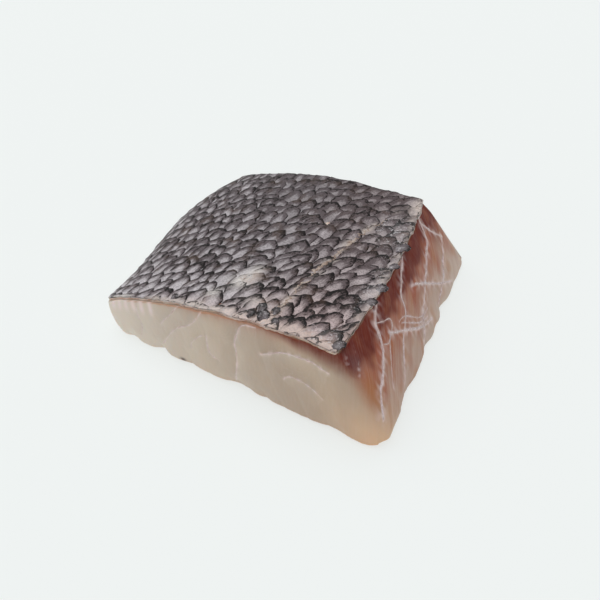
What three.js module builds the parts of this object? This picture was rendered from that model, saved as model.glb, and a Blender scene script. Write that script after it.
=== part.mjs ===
// A skin-on portion of a thick white sea-fish fillet, lying flat with its scaly skin side up.
//
// Millimetres. +Z is up and +Y runs along the fish's body, from the front crosswise cut to the back one.
// +X runs from the thin edge to the thick side, which was cut lengthwise and shows the red muscle.
// The origin is under the middle of the portion, on the surface that it lies on.
//
// Every piece is a layer of one warped block. A place in the block is (u, v, w): u from the thin edge to
// the thick side, v from the front cut to the back cut, and w from the underside to the skin.
import * as THREE from "three";

// Corners of the skin's outline, seen from above. The thick side follows the body, the cuts run slightly askew.
const SKIN_CORNERS = {
  thinFront: [-64.0, -29.9],
  thickFront: [41.5, -53.9],
  thickBack: [46.1, 51.0],
  thinBack: [-42.9, 58.4],
};
// Corners of the underside's outline. The cuts slope outwards to it, and the thin edge is undercut.
const FOOT_CORNERS = {
  thinFront: [-57.5, -33.9],
  thickFront: [64.0, -65.9],
  thickBack: [63.5, 57.9],
  thinBack: [-34.9, 63.4],
};
// How far each upright corner is rounded, at the skin and at the foot.
const SKIN_CORNER_RADII = { thinFront: 2.5, thickFront: 2.0, thickBack: 2.5, thinBack: 2.5 };
const FOOT_CORNER_RADII = { thinFront: 6.0, thickFront: 8.5, thickBack: 3.0, thinBack: 6.0 };
const WIDTH = 106; // mean width across the body
const LENGTH = 104; // mean length along the body

// Height of the skin's outer face above the underside.
const THIN_HEIGHT = 14;
const THICK_HEIGHT = 34;
const THIN_RISE_TO_BACK = 3.4;
const THICK_CROWN = 4;
const THICK_DROP_TO_BACK = 5.8;
const ROUNDNESS_FRONT = 2.3; // how fast the back's curve rises from the thin edge
const ROUNDNESS_BACK = 3.3;
const RIDGE_RISE = 0.9; // a low ridge along the middle, highest at the back cut
const RIDGE_PLACE = 0.55;
const RIDGE_REACH = 0.15;
const WRAP_DROP_FRONT = 1.4; // the skin turns down over the thin edge
const WRAP_DROP_BACK = 3.5;
const WRAP_RUN = 4.0;

// Edges that bow outwards, seen from above.
const THICK_EDGE_BOW = 4.0;
const THIN_SKIN_BOW = 6.2;
const THIN_FOOT_BOW = 4.5;
const THIN_BOW_SKEW = 2; // puts the thin edge's bow nearer the back
// Cut faces that belly out between skin and foot.
const THICK_BELLY = 0.7;
const BACK_CORNER_HOLLOW = 2;
const FRONT_CORNER_BELLY = 4.6;
const FRONT_CORNER_REACH = 22;
const THIN_BELLY = -1;
const CROSS_CUT_BELLY = 1.2;
const WALL_FADE = 8; // how quickly a face's belly dies away into the block

// Layers, measured down from the skin's outer face.
const SKIN_THICKNESS = 1.7;
const LAYER_GAP = 0.3;
const RED_THICKNESS_THIN = 0.7;
const RED_THICKNESS_THICK = 12;
const RED_TAPER = 8; // the red muscle is a wedge that thins quickly away from the thick side

// Scales in staggered columns along the body.
const SCALE_COLUMNS = 15;
const SCALE_ROWS = 14;
const SCALE_RISE = 0.75; // lift of a scale's free edge, which points to the back
const SCALE_CROWN = 0.35;

// Flakes of white muscle, which bulge a little between their sheets of connective tissue.
const FLAKE_WIDTH = 11;
const FLAKE_BULGE = 0.9;
const UNDERSIDE_EDGE_RADIUS = 1.6;
const SKIN_OVERHANG = 1.3; // how far the skin stands over the muscle at the thick front corner
const OVERHANG_DEPTH = 6;

// Steps of the block along u, v and w.
const STEPS_PER_COLUMN = 2;
const STEPS_PER_SCALE = 4;
const STEPS_U = STEPS_PER_COLUMN * SCALE_COLUMNS;
const STEPS_V_SKIN = STEPS_PER_SCALE * SCALE_ROWS;
const STEPS_V = SCALE_ROWS;
const STEPS_W_RED = 2;
const STEPS_W_WHITE = 8;

const lerp = THREE.MathUtils.lerp;
const clamp = THREE.MathUtils.clamp;

// 1 at no distance, dying away smoothly past the reach.
const nearness = (distance, reach) => Math.exp(-((distance / reach) ** 2));

// The move that turns a square corner of size radius into a quarter circle, for a place (p, q) from the corner.
function cornerPull(p, q, radius) {
  const x = clamp((radius - p) / radius, 0, 1);
  const y = clamp((radius - q) / radius, 0, 1);
  return [
    (x - x * Math.sqrt(1 - (y * y) / 2)) * radius,
    (y - y * Math.sqrt(1 - (x * x) / 2)) * radius,
  ];
}

// (u, v) with the four upright corners rounded.
function roundCorners(u, v, radii) {
  const p = u * WIDTH;
  const q = v * LENGTH;
  const thinFront = cornerPull(p, q, radii.thinFront);
  const thickFront = cornerPull(WIDTH - p, q, radii.thickFront);
  const thickBack = cornerPull(WIDTH - p, LENGTH - q, radii.thickBack);
  const thinBack = cornerPull(p, LENGTH - q, radii.thinBack);
  return [
    (p + thinFront[0] - thickFront[0] - thickBack[0] + thinBack[0]) / WIDTH,
    (q + thinFront[1] + thickFront[1] - thickBack[1] - thinBack[1]) / LENGTH,
  ];
}

// The place between four corners, seen from above.
function between(corners, u, v) {
  return [0, 1].map((axis) =>
    lerp(
      lerp(corners.thinFront[axis], corners.thickFront[axis], u),
      lerp(corners.thinBack[axis], corners.thickBack[axis], u),
      v,
    ),
  );
}

// Height of the skin's outer face, without its scales.
function heightAt(u, v) {
  const thin = THIN_HEIGHT + THIN_RISE_TO_BACK * v * v;
  const thick = THICK_HEIGHT + THICK_CROWN * v - THICK_DROP_TO_BACK * v * v;
  const roundness = lerp(ROUNDNESS_FRONT, ROUNDNESS_BACK, v);
  const ridge = RIDGE_RISE * v ** 3 * nearness(u - RIDGE_PLACE, RIDGE_REACH);
  const wrap = lerp(WRAP_DROP_FRONT, WRAP_DROP_BACK, v) * nearness(u * WIDTH, WRAP_RUN);
  return thin + (thick - thin) * (1 - (1 - u) ** roundness) + ridge - wrap;
}

// A place in the block as [x, y, z].
function placeInBlock(u, v, w) {
  const skin = between(SKIN_CORNERS, ...roundCorners(u, v, SKIN_CORNER_RADII));
  const foot = between(FOOT_CORNERS, ...roundCorners(u, v, FOOT_CORNER_RADII));
  const thinBow = Math.sin(Math.PI * v ** THIN_BOW_SKEW) * (1 - u);
  skin[0] += THICK_EDGE_BOW * Math.sin(Math.PI * v) * u - THIN_SKIN_BOW * thinBow;
  foot[0] -= THIN_FOOT_BOW * thinBow;
  const belly = 4 * w * (1 - w);
  const frontCorner = FRONT_CORNER_BELLY * nearness(v * LENGTH, FRONT_CORNER_REACH);
  const thickBelly = THICK_BELLY + frontCorner - BACK_CORNER_HOLLOW * v ** 4;
  const x =
    lerp(foot[0], skin[0], w) +
    belly * (thickBelly * u ** WALL_FADE + THIN_BELLY * (1 - u) ** WALL_FADE);
  const y =
    lerp(foot[1], skin[1], w) + belly * CROSS_CUT_BELLY * (v ** WALL_FADE - (1 - v) ** WALL_FADE);
  return [x, y, heightAt(u, v) * w];
}

// Where the muscle departs from the plain block: flakes, a rounded foot, and the step back under the skin.
function placeInMuscle(u, v, w) {
  const [x, y, z] = placeInBlock(u, v, w);
  const flake = Math.abs(Math.sin((Math.PI * u * WIDTH) / FLAKE_WIDTH)) - 0.5;
  const front = (1 - v) ** WALL_FADE;
  const back = v ** WALL_FADE;
  const edge = UNDERSIDE_EDGE_RADIUS * (1 - Math.min(1, z / UNDERSIDE_EDGE_RADIUS)) ** 2;
  const underSkin = nearness((1 - w) * heightAt(u, v), OVERHANG_DEPTH);
  const inset = edge + SKIN_OVERHANG * underSkin * u * u;
  const side = u ** WALL_FADE - (1 - u) ** WALL_FADE;
  return [
    x - inset * side,
    y + (front - back) * (inset - FLAKE_BULGE * flake * (1 - w)),
    z,
  ];
}

// Levels of the layers' faces, as w.
const skinOuter = (u, v) => 1 + scaleLift(u, v) / heightAt(u, v);
const skinInner = (u, v) => 1 - SKIN_THICKNESS / heightAt(u, v);
const redOuter = (u, v) => skinInner(u, v) - LAYER_GAP / heightAt(u, v);
function redInner(u, v) {
  const thickness = RED_THICKNESS_THIN + (RED_THICKNESS_THICK - RED_THICKNESS_THIN) * u ** RED_TAPER;
  return redOuter(u, v) - thickness / heightAt(u, v);
}
const whiteOuter = (u, v) => redInner(u, v) - LAYER_GAP / heightAt(u, v);
const underside = () => 0;

// Lift of the scales above the skin's plain outer face: each rises to its free edge and is crowned across.
function scaleLift(u, v) {
  const column = Math.round(u * STEPS_U) / STEPS_PER_COLUMN;
  const row = Math.round(v * STEPS_V_SKIN) / STEPS_PER_SCALE;
  const fromBorder = 2 * Math.min(column % 1, 1 - (column % 1));
  const staggered = Math.floor(column) % 2;
  const along = (row + staggered / 2) % 1;
  return SCALE_RISE * along + SCALE_CROWN * fromBorder;
}

// A layer between two levels, bent out of a subdivided box. A quarter turn of the box flips the diagonals of
// its faces, so that two layers that lie on each other are split into triangles alike.
function layer(lower, upper, place, stepsV, stepsW, turned = false) {
  const box = turned
    ? new THREE.BoxGeometry(1, 1, 1, stepsV, STEPS_U, stepsW).rotateZ(Math.PI / 2)
    : new THREE.BoxGeometry(1, 1, 1, STEPS_U, stepsV, stepsW);
  const position = box.getAttribute("position");
  for (let i = 0; i < position.count; i += 1) {
    const u = position.getX(i) + 0.5;
    const v = position.getY(i) + 0.5;
    const w = lerp(lower(u, v), upper(u, v), position.getZ(i) + 0.5);
    position.setXYZ(i, ...place(u, v, w));
  }
  box.computeVertexNormals();
  return box;
}

function piece(name, geometry, color, roughness) {
  const mesh = new THREE.Mesh(geometry, new THREE.MeshStandardMaterial({ color, roughness, metalness: 0 }));
  mesh.name = name;
  return mesh;
}

const portion = new THREE.Group();
portion.name = "fillet_portion";
portion.add(
  piece("skin", layer(skinInner, skinOuter, placeInBlock, STEPS_V_SKIN, 1), 0x6b6265, 0.4),
  piece("red_muscle", layer(redInner, redOuter, placeInMuscle, STEPS_V, STEPS_W_RED, true), 0x6e3a33, 0.45),
  piece("white_muscle", layer(underside, whiteOuter, placeInMuscle, STEPS_V, STEPS_W_WHITE), 0xb9a894, 0.4),
);

export default portion;
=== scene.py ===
# %% [markdown]
# # A skin-on fillet portion
# The real thing is a hand-cut block of a large white sea fish: pale flaky muscle, a wedge of dark red
# muscle under the skin along the thick side, and a scaly skin on top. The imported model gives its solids.
# This lesson dresses them: one soft translucent body of flesh, a pale dermis, some hundreds of
# overlapping scales, and the white membranes that cross the cut faces.

# %% Load the frame
import math
from itertools import product

import bmesh
import bpy
import numpy as np
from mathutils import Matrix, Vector
from mathutils.bvhtree import BVHTree


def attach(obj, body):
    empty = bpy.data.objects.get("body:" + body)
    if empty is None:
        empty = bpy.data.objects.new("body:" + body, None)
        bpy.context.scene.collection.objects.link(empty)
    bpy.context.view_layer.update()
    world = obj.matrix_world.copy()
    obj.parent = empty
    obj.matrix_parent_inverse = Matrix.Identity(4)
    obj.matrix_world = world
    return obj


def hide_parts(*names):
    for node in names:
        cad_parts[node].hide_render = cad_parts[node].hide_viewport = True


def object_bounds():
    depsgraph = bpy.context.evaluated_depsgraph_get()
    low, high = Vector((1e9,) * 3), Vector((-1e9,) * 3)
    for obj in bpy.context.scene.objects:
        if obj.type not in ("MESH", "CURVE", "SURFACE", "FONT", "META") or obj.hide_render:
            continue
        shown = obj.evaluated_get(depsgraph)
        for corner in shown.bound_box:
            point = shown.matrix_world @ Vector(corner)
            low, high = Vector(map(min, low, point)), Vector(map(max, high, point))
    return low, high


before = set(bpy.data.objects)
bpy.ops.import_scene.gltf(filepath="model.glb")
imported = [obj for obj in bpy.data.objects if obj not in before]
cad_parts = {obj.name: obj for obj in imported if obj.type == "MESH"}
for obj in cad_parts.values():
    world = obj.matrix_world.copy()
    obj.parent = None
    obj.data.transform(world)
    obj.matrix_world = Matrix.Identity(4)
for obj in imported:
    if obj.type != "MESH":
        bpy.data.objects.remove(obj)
CAD_BOX = [list(corner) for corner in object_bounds()]
MM = 0.001
LOWEST, HIGHEST = (np.array(corner) / MM for corner in CAD_BOX)
print("solids from", LOWEST.round(1), "to", HIGHEST.round(1), "mm")

# %% [markdown]
# ## Camera
# The portion is seen from above, a little from its thick side. A long lens from further off keeps the
# edges nearly parallel, so the camera stands about two thirds of a metre away.

# %% Camera
VIEW_AZIMUTH = math.radians(19)
VIEW_ELEVATION = math.radians(40)
VIEW_DISTANCE = 0.65
VIEW_TARGET = Vector((11.1 * MM, -7.65 * MM, 15 * MM))
FRAME_PIXELS = 600
FOCAL_PIXELS = 1625
SENSOR = 36

towards_camera = Vector((
    math.sin(VIEW_AZIMUTH) * math.cos(VIEW_ELEVATION),
    -math.cos(VIEW_AZIMUTH) * math.cos(VIEW_ELEVATION),
    math.sin(VIEW_ELEVATION),
))
camera = bpy.data.objects.new("camera", bpy.data.cameras.new("camera"))
camera.data.sensor_width = SENSOR
camera.data.lens = SENSOR * FOCAL_PIXELS / FRAME_PIXELS
camera.location = VIEW_TARGET + towards_camera * VIEW_DISTANCE
camera.rotation_mode = "QUATERNION"
camera.rotation_quaternion = (-towards_camera).to_track_quat("-Z", "Y")
scene = bpy.context.scene
scene.collection.objects.link(camera)
scene.camera = camera
print("lens", round(camera.data.lens, 1), "mm at", round(VIEW_DISTANCE, 2), "m")

# %% [markdown]
# ## Light and floor
# The real picture has almost no shadow, and yet the skin's dark edges stay dark. So the room itself is
# dim, a wide sun lamp from the upper left does most of the lighting and a weaker one fills the front. The
# floor is a pale light table: most of its brightness is its own glow, which keeps the shadow faint and
# narrow. One helper makes every material: it sets the shader's own sockets from a list of values.

# %% Light and floor
ROOM_COLOUR = (0.95, 0.98, 1.0, 1)
ROOM_STRENGTH = 0.42
FLOOR_SIZE = 8.0
FLOOR_FINISH = {
    "Base Color": (0.28, 0.29, 0.285, 1),
    "Roughness": 0.9,
    "Emission Color": (0.617, 0.638, 0.631, 1),
    "Emission Strength": 1.0,
}
LAMPS = {
    "overhead": {"energy": 1.25, "spread": 60, "tilt": 30, "heading": 235},
    "front_fill": {"energy": 0.55, "spread": 90, "tilt": 60, "heading": 10},
}

scene.view_settings.view_transform = "Standard"
world = bpy.data.worlds.new("soft_room")
world.use_nodes = True
background = world.node_tree.nodes["Background"]
background.inputs["Color"].default_value = ROOM_COLOUR
background.inputs["Strength"].default_value = ROOM_STRENGTH
scene.world = world

for name, lamp in LAMPS.items():
    light = bpy.data.objects.new(name, bpy.data.lights.new(name, "SUN"))
    light.data.energy = lamp["energy"]
    light.data.angle = math.radians(lamp["spread"])
    light.rotation_euler = (math.radians(lamp["tilt"]), 0, math.radians(lamp["heading"]))
    scene.collection.objects.link(light)


def material(name, finish):
    made = bpy.data.materials.new(name)
    made.use_nodes = True
    shader = made.node_tree.nodes["Principled BSDF"]
    for socket, value in finish.items():
        shader.inputs[socket].default_value = value
    return made, made.node_tree, shader


half = FLOOR_SIZE / 2
corners = [(-half, -half, 0), (half, -half, 0), (half, half, 0), (-half, half, 0)]
floor_mesh = bpy.data.meshes.new("floor")
floor_mesh.from_pydata(corners, [], [(0, 1, 2, 3)])
floor_mesh.materials.append(material("pale_floor", FLOOR_FINISH)[0])
floor = bpy.data.objects.new("floor", floor_mesh)
scene.collection.objects.link(floor)
print(len(LAMPS), "lamps over a floor", FLOOR_SIZE, "m wide")

# %% [markdown]
# ## The block that every piece is cut from
# All the pieces are layers of one warped block, so one function serves them all. A place in it is
# (u, v, w): u from the thin edge to the thick side, v from the front cut to the back cut, w from the
# underside to the skin. Its sizes are those of the solids, in millimetres. Two helpers are met all
# through the lesson: mix goes from one value to another, and near is one at a place and fades away over a
# reach.

# %% The block
WIDTH = 106
LENGTH = 104
SKIN_CORNERS = {
    "thin_front": (-64.0, -29.9),
    "thick_front": (41.5, -53.9),
    "thick_back": (46.1, 51.0),
    "thin_back": (-42.9, 58.4),
}
FOOT_CORNERS = {
    "thin_front": (-57.5, -33.9),
    "thick_front": (64.0, -65.9),
    "thick_back": (63.5, 57.9),
    "thin_back": (-34.9, 63.4),
}
SKIN_RADII = {"thin_front": 2.5, "thick_front": 2.0, "thick_back": 2.5, "thin_back": 2.5}
FOOT_RADII = {"thin_front": 6.0, "thick_front": 8.5, "thick_back": 3.0, "thin_back": 6.0}
THIN_HEIGHT = 14
THIN_RISE_TO_BACK = 3.4
THICK_HEIGHT = 34
THICK_CROWN = 4
THICK_DROP_TO_BACK = 5.8
ROUNDNESS_FRONT = 2.3
ROUNDNESS_GAIN = 1
RIDGE_RISE = 0.9
RIDGE_PLACE = 0.55
RIDGE_REACH = 0.15
WRAP_DROP_FRONT = 1.4
WRAP_DROP_GAIN = 2.1
WRAP_RUN = 4.0
THICK_EDGE_BOW = 4.0
THIN_SKIN_BOW = 6.2
THIN_FOOT_BOW = 4.5
THICK_BELLY = 0.7
FRONT_CORNER_BELLY = 4.6
FRONT_CORNER_REACH = 22
BACK_CORNER_HOLLOW = 2
CROSS_CUT_BELLY = 1.2
WALL_FADE = 8


def corner_pull(p, q, radius):
    x = np.clip((radius - p) / radius, 0, 1)
    y = np.clip((radius - q) / radius, 0, 1)
    return (x - x * np.sqrt(1 - y * y / 2)) * radius, (y - y * np.sqrt(1 - x * x / 2)) * radius


def round_corners(u, v, radii):
    p, q = u * WIDTH, v * LENGTH
    a = corner_pull(p, q, radii["thin_front"])
    b = corner_pull(WIDTH - p, q, radii["thick_front"])
    c = corner_pull(WIDTH - p, LENGTH - q, radii["thick_back"])
    d = corner_pull(p, LENGTH - q, radii["thin_back"])
    return (p + a[0] - b[0] - c[0] + d[0]) / WIDTH, (q + a[1] + b[1] - c[1] - d[1]) / LENGTH


def mix(a, b, share):
    return a + (b - a) * share


def between(corners, u, v, axis):
    front = mix(corners["thin_front"][axis], corners["thick_front"][axis], u)
    back = mix(corners["thin_back"][axis], corners["thick_back"][axis], u)
    return mix(front, back, v)


def near(distance, reach):
    return np.exp(-((distance / reach) ** 2))


def height(u, v):
    thin = THIN_HEIGHT + THIN_RISE_TO_BACK * v * v
    thick = THICK_HEIGHT + THICK_CROWN * v - THICK_DROP_TO_BACK * v * v
    rise = 1 - np.maximum(1 - u, 0) ** (ROUNDNESS_FRONT + ROUNDNESS_GAIN * v)
    ridge = RIDGE_RISE * v**3 * near(u - RIDGE_PLACE, RIDGE_REACH)
    wrap = (WRAP_DROP_FRONT + WRAP_DROP_GAIN * v) * near(u * WIDTH, WRAP_RUN)
    return thin + (thick - thin) * rise + ridge - wrap


def wall_side(share):
    return share**WALL_FADE - (1 - share) ** WALL_FADE


def block(u, v, w):
    u, v, w = np.broadcast_arrays(*(np.asarray(a, float) for a in (u, v, w)))
    skin_place = round_corners(u, v, SKIN_RADII)
    foot_place = round_corners(u, v, FOOT_RADII)
    bow = np.sin(np.pi * np.clip(v, 0, 1) ** 2) * (1 - u)
    skin_x = between(SKIN_CORNERS, *skin_place, 0) + THICK_EDGE_BOW * np.sin(np.pi * v) * u
    skin_x = skin_x - THIN_SKIN_BOW * bow
    foot_x = between(FOOT_CORNERS, *foot_place, 0) - THIN_FOOT_BOW * bow
    belly = 4 * w * (1 - w)
    thick_belly = THICK_BELLY + FRONT_CORNER_BELLY * near(v * LENGTH, FRONT_CORNER_REACH)
    thick_belly = thick_belly - BACK_CORNER_HOLLOW * v**4
    x = mix(foot_x, skin_x, w) + belly * (thick_belly * u**WALL_FADE - (1 - u) ** WALL_FADE)
    y = mix(between(FOOT_CORNERS, *foot_place, 1), between(SKIN_CORNERS, *skin_place, 1), w)
    y = y + belly * CROSS_CUT_BELLY * wall_side(v)
    return np.stack([x, y, height(u, v) * w], -1)


print("thick corner of the skin at", block(1, 0, 1).round(1), "mm")

# %% [markdown]
# ## Small helpers
# Flesh is never even. A sum of slow sine waves in seeded random directions gives the same soft unevenness
# each time the lesson runs; a call gives it the waves' length in millimetres and a seed. Smooth is a soft
# step from none to all between two values.

# %% Small helpers
WAVE_STRETCH = (0.6, 1.5)


def unevenness(x, y, wavelength, seed, waves=9):
    total = 0
    for turn, phase, stretch in np.random.default_rng(seed).random((waves, 3)):
        k = 2 * np.pi / (wavelength * mix(*WAVE_STRETCH, stretch))
        total = total + np.sin(k * (x * np.cos(turn * np.pi) + y * np.sin(turn * np.pi)) + 2 * np.pi * phase)
    return total / math.sqrt(waves)


def smooth(low, high, x):
    t = np.clip((x - low) / (high - low), 0, 1)
    return t * t * (3 - 2 * t)


sample = unevenness(np.arange(100), 0, 10, 1)
print("waves of 10 mm swing from", sample.min().round(1), "to", sample.max().round(1))

# %% [markdown]
# ## Flesh
# Red and white muscle pass into each other on the real fish, so one closed body stands for both solids
# and a stored number says where it is red. It is built as a wall: a loop of points once round the block,
# repeated at many levels, with finer steps on the two cut faces that show. Its upper edge steps back a
# little under the skin and its foot is rounded.

# %% The flesh's grid
FLESH_STEPS = {"front": 300, "thick": 300, "back": 170, "thin": 120}
FLESH_LEVELS = 80
SKIN_DEPTH = 1.15
FOOT_RADIUS = 1.6
SKIN_OVERHANG = 1.0
OVERHANG_DEPTH = 5


def place_in_flesh(u, v, w):
    places = block(u, v, w)
    foot = FOOT_RADIUS * np.clip(1 - places[..., 2] / FOOT_RADIUS, 0, 1) ** 2
    inset = foot + SKIN_OVERHANG * near((1 - w) * height(u, v), OVERHANG_DEPTH) * u * u
    places[..., 0] -= inset * wall_side(u)
    places[..., 1] -= inset * wall_side(v)
    return places


front_u = np.linspace(0, 1, FLESH_STEPS["front"], endpoint=False)
thick_v = np.linspace(0, 1, FLESH_STEPS["thick"], endpoint=False)
back_u = np.linspace(1, 0, FLESH_STEPS["back"], endpoint=False)
thin_v = np.linspace(1, 0, FLESH_STEPS["thin"], endpoint=False)
loop_u = np.concatenate([front_u, np.ones_like(thick_v), back_u, np.zeros_like(thin_v)])
loop_v = np.concatenate([np.zeros_like(front_u), thick_v, np.ones_like(back_u), thin_v])
loop_size = len(loop_u)
loop_face = np.repeat(list(FLESH_STEPS), list(FLESH_STEPS.values()))
wall_shape = (FLESH_LEVELS + 1, loop_size)
wall_u = np.broadcast_to(loop_u, wall_shape)
wall_v = np.broadcast_to(loop_v, wall_shape)
wall_top = 1 - SKIN_DEPTH / height(loop_u, loop_v)
wall_w = np.linspace(0, 1, FLESH_LEVELS + 1)[:, None] * wall_top
is_thick = np.broadcast_to(loop_face == "thick", wall_shape)
is_side = np.broadcast_to((loop_face == "thick") | (loop_face == "thin"), wall_shape)

plain_wall = place_in_flesh(wall_u, wall_v, wall_w)
tangent = np.roll(plain_wall, -1, axis=1) - np.roll(plain_wall, 1, axis=1)
outward = np.stack([tangent[..., 1], -tangent[..., 0], np.zeros(wall_shape)], -1)
outward /= np.linalg.norm(outward, axis=-1, keepdims=True)
around = np.cumsum(np.linalg.norm(np.diff(plain_wall[0], axis=0, append=plain_wall[:1, 0]), axis=-1))
around = np.broadcast_to(around, wall_shape)
rise = plain_wall[..., 2]
depth = (1 - wall_w) * height(wall_u, wall_v)
print("flesh wall of", loop_size, "by", FLESH_LEVELS, "faces")

# %% [markdown]
# ## Lines on the cut faces
# Sheets of white tissue part the flakes and show as lines on a cut. On the front cut they curve round
# like the rings of an onion, and on the thick side a net of thicker membranes runs down from the skin.
# Each line is a short list of places on its face, as shares of the block, joined by a smooth curve. Beside
# each line the flake on the left of its way gets painted light and the one on its right painted shade, as
# at a step between flakes. The back cut goes through the same muscle, so it repeats the lines of the front.

# %% Lines on the cut faces
def smooth_path(points, steps=12):
    points = np.asarray(points, float)
    padded = np.vstack([2 * points[0] - points[1], points, 2 * points[-1] - points[-2]])
    t = np.linspace(0, 1, steps, endpoint=False)[:, None]
    parts = []
    for a, b, c, d in zip(padded, padded[1:], padded[2:], padded[3:]):
        bend = (2 * a - 5 * b + 4 * c - d) * t**2 + (3 * b - a - 3 * c + d) * t**3
        parts.append(0.5 * (2 * b + (c - a) * t + bend))
    return np.vstack([*parts, points[-1:]])


# Each line is its half width in millimetres, how white it is, and its places (share along the face, w).
FRONT_LINES = [
    (0.22, 0.90, [
        (0.66, 0.945), (0.60, 0.92), (0.565, 0.80), (0.541, 0.67),
        (0.524, 0.47), (0.50, 0.28), (0.472, 0.10),
    ]),
    (0.16, 0.45, [(0.33, 0.97), (0.30, 0.87), (0.247, 0.70), (0.225, 0.62)]),
    (0.18, 0.60, [(0.43, 0.95), (0.37, 0.76), (0.29, 0.614), (0.24, 0.42), (0.212, 0.282), (0.187, 0.18)]),
    (0.20, 0.65, [(0.421, 0.649), (0.411, 0.506), (0.413, 0.40), (0.44, 0.34)]),
    (0.15, 0.40, [(0.421, 0.649), (0.385, 0.60), (0.345, 0.47), (0.335, 0.36)]),
    (0.24, 0.90, [
        (0.905, 0.735), (0.85, 0.785), (0.794, 0.788), (0.735, 0.761),
        (0.68, 0.70), (0.645, 0.66),
    ]),
    (0.17, 0.60, [(0.835, 0.39), (0.81, 0.46), (0.78, 0.51), (0.75, 0.52), (0.72, 0.49), (0.70, 0.44)]),
    (0.14, 0.35, [(0.15, 0.97), (0.135, 0.75), (0.14, 0.50), (0.12, 0.25)]),
]
THICK_LINES = [
    (0.60, 1.0, [
        (0.88, 0.97), (0.866, 0.915), (0.815, 0.718), (0.728, 0.595),
        (0.618, 0.429), (0.568, 0.344), (0.511, 0.108),
    ]),
    (0.50, 0.7, [(0.95, 0.55), (0.894, 0.402), (0.821, 0.247), (0.761, 0.205), (0.70, 0.08)]),
    (0.45, 0.8, [
        (0.614, 0.97), (0.53, 0.86), (0.474, 0.768), (0.458, 0.591),
        (0.373, 0.467), (0.322, 0.297), (0.28, 0.147),
    ]),
    (0.60, 1.0, [
        (0.323, 0.97), (0.253, 0.869), (0.229, 0.703), (0.162, 0.579),
        (0.09, 0.514), (0.043, 0.378), (0.03, 0.30),
    ]),
    (0.50, 0.9, [(0.57, 0.68), (0.608, 0.625), (0.681, 0.463), (0.76, 0.27), (0.848, 0.077)]),
    (0.55, 1.0, [(0.30, 0.68), (0.319, 0.641), (0.398, 0.498), (0.515, 0.27), (0.605, 0.17)]),
    (0.25, 0.7, [(0.40, 0.58), (0.419, 0.548), (0.528, 0.305), (0.584, 0.251)]),
    (0.22, 0.6, [(0.39, 0.62), (0.44, 0.58), (0.54, 0.345), (0.61, 0.30)]),
    (0.40, 0.8, [(0.866, 0.915), (0.90, 0.70), (0.95, 0.498)]),
    (0.22, 0.6, [(0.31, 0.66), (0.27, 0.60), (0.22, 0.47), (0.18, 0.32)]),
    (0.25, 0.5, [(0.253, 0.869), (0.30, 0.80), (0.345, 0.74), (0.33, 0.66), (0.27, 0.63), (0.235, 0.68)]),
]
FACE_LINES = {"front": FRONT_LINES, "thick": THICK_LINES, "back": FRONT_LINES}
FACE_START = dict(zip(FLESH_STEPS, np.cumsum([0, *FLESH_STEPS.values()])))
FACE_HEADING = {
    "front": ("thin_front", "thick_front"),
    "thick": ("thick_front", "thick_back"),
    "back": ("thin_back", "thick_back"),
}
LINE_CORE = 0.75
VEIL = 0.5
VEIL_REACH = 4.0
FLAKE_REACH = 4.5
print("one line of", len(smooth_path(FRONT_LINES[0][2])), "places")

# %% Draw the lines on the wall
def on_wall(grid, face, path):
    share, w = path.T
    share = 1 - share if face in ("back", "thin") else share
    column = FACE_START[face] + share * FLESH_STEPS[face]
    row = np.clip(w / np.interp(column, np.arange(loop_size), wall_top), 0, 1) * FLESH_LEVELS
    j, i = np.floor(column).astype(int), np.minimum(np.floor(row).astype(int), FLESH_LEVELS - 1)
    across, up = (column - j)[:, None], (row - i)[:, None]
    low = mix(grid[i, j % loop_size], grid[i, (j + 1) % loop_size], across)
    high = mix(grid[i + 1, j % loop_size], grid[i + 1, (j + 1) % loop_size], across)
    return mix(low, high, up)


def flatten(places, face):
    start, end = (np.array(FOOT_CORNERS[corner]) for corner in FACE_HEADING[face])
    heading = (end - start) / np.linalg.norm(end - start)
    return np.stack([places[..., :2] @ heading, places[..., 2]], -1)


def distance_to_path(places, path):
    nearest = np.full(places.shape[:-1], 1e9)
    side = np.zeros(places.shape[:-1])
    for start, end in zip(path, path[1:]):
        edge, arm = end - start, places - start
        share = np.clip(arm @ edge / (edge @ edge), 0, 1)
        distance = np.linalg.norm(arm - share[..., None] * edge, axis=-1)
        turn = np.sign(edge[0] * arm[..., 1] - edge[1] * arm[..., 0])
        side = np.where(distance < nearest, turn * (share > 0) * (share < 1), side)
        nearest = np.minimum(nearest, distance)
    return nearest, side


tissue = np.zeros(wall_shape)
flake_light = np.zeros(wall_shape)
for face, lines in FACE_LINES.items():
    columns = loop_face == face
    places = flatten(plain_wall[:, columns], face)
    for half_width, strength, points in lines:
        path = flatten(on_wall(plain_wall, face, smooth_path(points)), face)
        distance, side = distance_to_path(places, path)
        veil = smooth(-0.6, 1.0, unevenness(places[..., 0], places[..., 1] * 0.5, 3, 31))
        core = LINE_CORE * near(distance, half_width)
        halo = VEIL * veil * near(distance, VEIL_REACH * half_width)
        tissue[:, columns] = np.maximum(tissue[:, columns], strength * (core + halo))
        # painted light on the left of each line and painted shade on its right, as at a step between flakes
        flake_light[:, columns] += strength * side * np.exp(-distance / FLAKE_REACH)
print(sum(len(lines) for lines in FACE_LINES.values()), "lines of white tissue")

# %% [markdown]
# ## Relief of the flesh
# The block's walls are too smooth for a knife-cut fish. Flakes bulge a little, the foot is notched where
# flakes meet, the white lines stand proud, and a wet crumpled film hangs near the front tip of the skin.
# All of it moves the wall outwards or inwards, level with the floor, and nothing passes the box of the
# solids.

# %% Relief of the flesh
FRONT_FLAKES = (-0.03, 0.084, 0.179, 0.295, 0.518, 0.642, 0.732, 0.801, 1.03)
THICK_FLAKES = (-0.05, 0.27, 0.504, 0.71, 0.86, 1.03)
FLAKE_BULGE = 0.6
FLAKE_LEVEL = 0.6
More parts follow.
